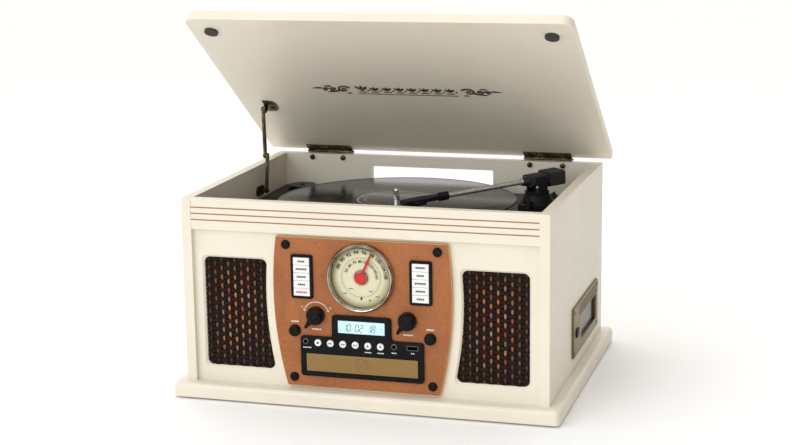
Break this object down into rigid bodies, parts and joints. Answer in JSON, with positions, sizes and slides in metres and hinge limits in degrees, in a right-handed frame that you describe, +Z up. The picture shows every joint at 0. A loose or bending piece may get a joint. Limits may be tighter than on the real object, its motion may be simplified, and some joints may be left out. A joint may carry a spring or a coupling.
{
  "type": "cabinet record player",
  "caption": "Wooden cabinet music centre: hinged lid on a folding stay, belt-driven turntable, round radio dial, disc drawer, side cassette slot and cloth-covered speakers.",
  "frame": {"origin": "centre of the plinth's footprint, on the surface that the rubber feet stand on", "axes": "+Z up; +X to the right of somebody facing the controls, along the widest side; -Y is the front; all parts at rest with the lid open on its stay"},
  "size_m": [0.478, 0.374, 0.4634],
  "materials": {
    "cream_paint": "satin cream lacquer on board",
    "fascia_brown": "warm brown speckled panel, satin",
    "black_gloss": "polished black",
    "black_matte": "fine-textured black",
    "white_plastic": "white moulded, satin",
    "bronze": "antiqued dark bronze",
    "gold_trim": "brushed gold",
    "chrome": "polished",
    "steel": "zinc plated",
    "aluminium": "satin",
    "rubber": "matt",
    "cloth": "woven, dark brown with coloured flecks",
    "board_green": "circuit board with parts",
    "vinyl": "grooved vinyl",
    "red_plastic": "satin red"
  },
  "bodies": {
    "cabinet": {"plinth": "cream_paint", "rubber_feet": "rubber", "side_panel_left": "cream_paint", "side_panel_right": "cream_paint", "back_panel": "cream_paint", "top_rail": "cream_paint", "front_baffle": "cream_paint", "speaker_grilles": "cloth", "speaker_drivers": "steel", "fascia_panel": "fascia_brown", "fascia_studs": "black_gloss", "media_panel": "black_gloss", "key_bezels": "black_gloss", "tuning_dial": "chrome", "drawer_chassis": "steel", "cassette_bezel": "gold_trim", "cassette_mechanism": "black_matte", "circuit_boards": "board_green", "rear_terminals": "black_matte", "deck_plate": "black_matte", "belt_drive": "steel", "tonearm_base": "black_matte", "wall_hardware": "bronze"},
    "lid": {"lid_panel": "cream_paint", "lid_bumpers": "rubber", "lid_hardware": "bronze"},
    "stay_lower": {"stay_lower_link": "bronze"},
    "stay_upper": {"stay_upper_link": "bronze"},
    "turntable": {"platter": "aluminium", "record": "vinyl"},
    "pulley": {"motor_pulley": "steel"},
    "gimbal": {"arm_gimbal": "black_matte"},
    "tonearm": {"tonearm_tube": "aluminium", "headshell": "black_matte"},
    "lift_lever": {"cue_lever": "black_matte"},
    "speed_selector": {"speed_lever": "black_matte"},
    "volume": {"volume_knob": "black_gloss"},
    "tuning": {"tuning_knob": "black_gloss"},
    "pointer": {"dial_pointer": "red_plastic"},
    "power_push": {"power_button": "black_gloss"},
    "eject_push": {"eject_button": "black_gloss"},
    "drawer": {"disc_drawer": "gold_trim"},
    "tape_flap": {"cassette_flap": "black_matte"},
    "cassette_push": {"cassette_key": "black_matte"},
    "delete_push": {"delete_key": "white_plastic"},
    "repeat_push": {"repeat_key": "white_plastic"},
    "program_push": {"program_key": "white_plastic"},
    "shuffle_push": {"shuffle_key": "white_plastic"},
    "record_push": {"record_key": "white_plastic"},
    "aux_push": {"aux_key": "white_plastic"},
    "phono_push": {"phono_key": "white_plastic"},
    "disc_push": {"disc_key": "white_plastic"},
    "tape_push": {"tape_key": "white_plastic"},
    "radio_push": {"radio_key": "white_plastic"},
    "stop_push": {"stop_key": "white_plastic"},
    "previous_push": {"previous_key": "white_plastic"},
    "next_push": {"next_key": "white_plastic"},
    "play_push": {"play_key": "white_plastic"},
    "folder_up_push": {"folder_up_key": "white_plastic"},
    "folder_down_push": {"folder_down_key": "white_plastic"}
  },
  "joints": [
    {"name": "lid_hinge", "type": "hinge", "parent": "cabinet", "child": "lid", "pos_m": [0, 0.1755, 0.2475], "axis": [-1, 0, 0], "range_deg": [-35, 0]},
    {"name": "stay_lower_pivot", "type": "hinge", "parent": "cabinet", "child": "stay_lower", "pos_m": [-0.2055, 0.0604, 0.212], "axis": [1, 0, 0], "range_deg": [-61.3, 0]},
    {"name": "stay_upper_pivot", "type": "hinge", "parent": "lid", "child": "stay_upper", "pos_m": [-0.2055, 0.06438, 0.31981], "axis": [1, 0, 0], "range_deg": [0, 38.6]},
    {"name": "platter_spin", "type": "hinge", "parent": "cabinet", "child": "turntable", "pos_m": [-0.008, 0.005, 0.2], "axis": [0, 0, 1], "continuous": true},
    {"name": "pulley_spin", "type": "hinge", "parent": "cabinet", "child": "pulley", "pos_m": [-0.08248, -0.038, 0.2], "axis": [0, 0, 1], "continuous": true},
    {"name": "tonearm_swing", "type": "hinge", "parent": "cabinet", "child": "gimbal", "pos_m": [0.155, 0.088, 0.22], "axis": [0, 0, 1], "range_deg": [-6, 47]},
    {"name": "tonearm_lift", "type": "hinge", "parent": "gimbal", "child": "tonearm", "pos_m": [0.155, 0.088, 0.236], "axis": [-0.7325, 0.6807, 0], "range_deg": [0, 8]},
    {"name": "cue_lever_tilt", "type": "hinge", "parent": "cabinet", "child": "lift_lever", "pos_m": [0.19, 0.066, 0.2046], "axis": [0, 1, 0], "range_deg": [0, 50]},
    {"name": "speed_lever_slide", "type": "slide", "parent": "cabinet", "child": "speed_selector", "axis": [0, 1, 0], "range_m": [-0.012, 0.012]},
    {"name": "volume_knob_turn", "type": "hinge", "parent": "cabinet", "child": "volume", "pos_m": [-0.0565, -0.17, 0.1118], "axis": [0, 1, 0], "range_deg": [0, 286]},
    {"name": "tuning_knob_turn", "type": "hinge", "parent": "cabinet", "child": "tuning", "pos_m": [0.0565, -0.17, 0.1118], "axis": [0, 1, 0], "range_deg": [-290, 190]},
    {"name": "dial_pointer_turn", "type": "hinge", "parent": "cabinet", "child": "pointer", "pos_m": [0, -0.17, 0.1605], "axis": [0, 1, 0], "range_deg": [-145, 95]},
    {"name": "disc_drawer_slide", "type": "slide", "parent": "cabinet", "child": "drawer", "axis": [0, -1, 0], "range_m": [0, 0.125]},
    {"name": "cassette_flap_swing", "type": "hinge", "parent": "cabinet", "child": "tape_flap", "pos_m": [0.2235, 0.061, 0.0817], "axis": [0, 1, 0], "range_deg": [0, 80], "stiffness_Nm_per_rad": 0.004},
    {"name": "cassette_key_press", "type": "slide", "parent": "cabinet", "child": "cassette_push", "axis": [-1, 0, 0], "range_m": [0, 0.002], "stiffness_N_per_m": 300, "springref_m": -0.001},
    {"name": "power_button_press", "type": "slide", "parent": "cabinet", "child": "power_push", "axis": [0, 1, 0], "range_m": [0, 0.0015], "stiffness_N_per_m": 300, "springref_m": -0.001},
    {"name": "eject_button_press", "type": "slide", "parent": "cabinet", "child": "eject_push", "axis": [0, 1, 0], "range_m": [0, 0.0015], "stiffness_N_per_m": 300, "springref_m": -0.001},
    {"name": "delete_key_press", "type": "slide", "parent": "cabinet", "child": "delete_push", "axis": [0, 1, 0], "range_m": [0, 0.0012], "stiffness_N_per_m": 300, "springref_m": -0.001},
    {"name": "repeat_key_press", "type": "slide", "parent": "cabinet", "child": "repeat_push", "axis": [0, 1, 0], "range_m": [0, 0.0012], "stiffness_N_per_m": 300, "springref_m": -0.001},
    {"name": "program_key_press", "type": "slide", "parent": "cabinet", "child": "program_push", "axis": [0, 1, 0], "range_m": [0, 0.0012], "stiffness_N_per_m": 300, "springref_m": -0.001},
    {"name": "shuffle_key_press", "type": "slide", "parent": "cabinet", "child": "shuffle_push", "axis": [0, 1, 0], "range_m": [0, 0.0012], "stiffness_N_per_m": 300, "springref_m": -0.001},
    {"name": "record_key_press", "type": "slide", "parent": "cabinet", "child": "record_push", "axis": [0, 1, 0], "range_m": [0, 0.0012], "stiffness_N_per_m": 300, "springref_m": -0.001},
    {"name": "aux_key_press", "type": "slide", "parent": "cabinet", "child": "aux_push", "axis": [0, 1, 0], "range_m": [0, 0.0012], "stiffness_N_per_m": 300, "springref_m": -0.001},
    {"name": "phono_key_press", "type": "slide", "parent": "cabinet", "child": "phono_push", "axis": [0, 1, 0], "range_m": [0, 0.0012], "stiffness_N_per_m": 300, "springref_m": -0.001},
    {"name": "disc_key_press", "type": "slide", "parent": "cabinet", "child": "disc_push", "axis": [0, 1, 0], "range_m": [0, 0.0012], "stiffness_N_per_m": 300, "springref_m": -0.001},
    {"name": "tape_key_press", "type": "slide", "parent": "cabinet", "child": "tape_push", "axis": [0, 1, 0], "range_m": [0, 0.0012], "stiffness_N_per_m": 300, "springref_m": -0.001},
    {"name": "radio_key_press", "type": "slide", "parent": "cabinet", "child": "radio_push", "axis": [0, 1, 0], "range_m": [0, 0.0012], "stiffness_N_per_m": 300, "springref_m": -0.001},
    {"name": "stop_key_press", "type": "slide", "parent": "cabinet", "child": "stop_push", "axis": [0, 1, 0], "range_m": [0, 0.001], "stiffness_N_per_m": 300, "springref_m": -0.001},
    {"name": "previous_key_press", "type": "slide", "parent": "cabinet", "child": "previous_push", "axis": [0, 1, 0], "range_m": [0, 0.001], "stiffness_N_per_m": 300, "springref_m": -0.001},
    {"name": "next_key_press", "type": "slide", "parent": "cabinet", "child": "next_push", "axis": [0, 1, 0], "range_m": [0, 0.001], "stiffness_N_per_m": 300, "springref_m": -0.001},
    {"name": "play_key_press", "type": "slide", "parent": "cabinet", "child": "play_push", "axis": [0, 1, 0], "range_m": [0, 0.001], "stiffness_N_per_m": 300, "springref_m": -0.001},
    {"name": "folder_up_key_press", "type": "slide", "parent": "cabinet", "child": "folder_up_push", "axis": [0, 1, 0], "range_m": [0, 0.001], "stiffness_N_per_m": 300, "springref_m": -0.001},
    {"name": "folder_down_key_press", "type": "slide", "parent": "cabinet", "child": "folder_down_push", "axis": [0, 1, 0], "range_m": [0, 0.001], "stiffness_N_per_m": 300, "springref_m": -0.001}
  ],
  "couplings": [
    {"joint": "stay_lower_pivot", "follows": "lid_hinge", "ratio": 1.7457},
    {"joint": "stay_upper_pivot", "follows": "lid_hinge", "ratio": -1.0971},
    {"joint": "pulley_spin", "follows": "platter_spin", "ratio": 18.75},
    {"joint": "dial_pointer_turn", "follows": "tuning_knob_turn", "ratio": 0.5},
    {"joint": "tonearm_lift", "follows": "cue_lever_tilt", "ratio": 0.16}
  ]
}
